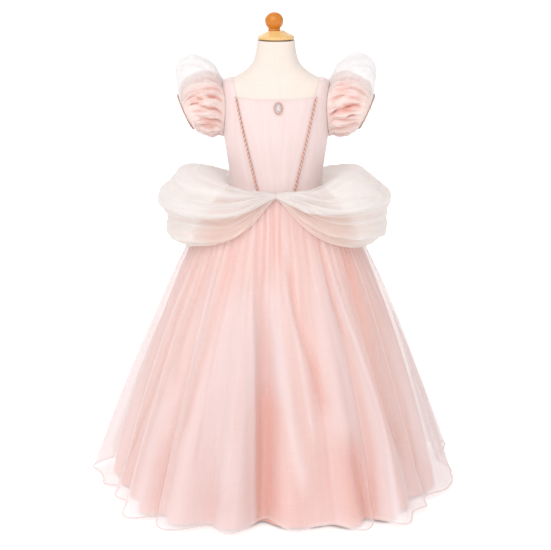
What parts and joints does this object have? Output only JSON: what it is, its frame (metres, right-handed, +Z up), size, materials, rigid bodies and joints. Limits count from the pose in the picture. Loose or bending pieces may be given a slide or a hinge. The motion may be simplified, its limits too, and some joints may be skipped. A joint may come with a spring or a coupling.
{
  "type": "princess costume dress on a limbless dress form",
  "caption": "Child's full-length puff-sleeved gown with gathered waist puffs and a two-layer skirt, standing on a limbless tailor's form with a round foot",
  "frame": {"origin": "centre of the underside of the form's round foot, on the floor", "axes": "+Z up along the form's pole, front of the dress toward -Y, wearer's left toward +X"},
  "size_m": [0.8282, 0.8476, 1.0584],
  "materials": {
    "pale_satin": "pale pink satin with a soft sheen",
    "peach_satin": "peach satin",
    "peach_organza": "sheer peach organza",
    "white_organza": "sheer white organza",
    "ivory_organza": "sheer ivory organza",
    "rose_gold_cord": "twisted metallic cord",
    "rose_gold_metal": "rose gold plated",
    "crystal": "clear faceted",
    "ivory_jersey": "fine cotton jersey",
    "honey_wood": "clear varnish",
    "amber_wood": "glossy amber varnish",
    "dark_wood": "satin varnish",
    "steel_tube": "satin"
  },
  "bodies": {
    "root": {"form_foot": "dark_wood", "form_pole": "steel_tube", "form_torso": "ivory_jersey", "form_neck_cap": "honey_wood", "form_knob": "amber_wood", "bodice_front": "pale_satin", "bodice_side_left": "pale_satin", "bodice_side_right": "pale_satin", "bodice_back_left": "pale_satin", "bodice_back_right": "pale_satin", "bodice_placket": "pale_satin", "cord_trim_left": "rose_gold_cord", "cord_trim_right": "rose_gold_cord", "brooch_bezel": "rose_gold_metal", "brooch_gem": "crystal", "sleeve_satin_left": "peach_satin", "sleeve_satin_right": "peach_satin", "sleeve_organza_left": "white_organza", "sleeve_organza_right": "white_organza", "sleeve_cuff_left": "rose_gold_cord", "sleeve_cuff_right": "rose_gold_cord", "skirt_satin_front": "peach_satin", "skirt_satin_back": "peach_satin", "skirt_organza_front": "peach_organza", "skirt_organza_back": "peach_organza", "waist_puff_left": "ivory_organza", "waist_puff_right": "ivory_organza"}
  },
  "joints": []
}
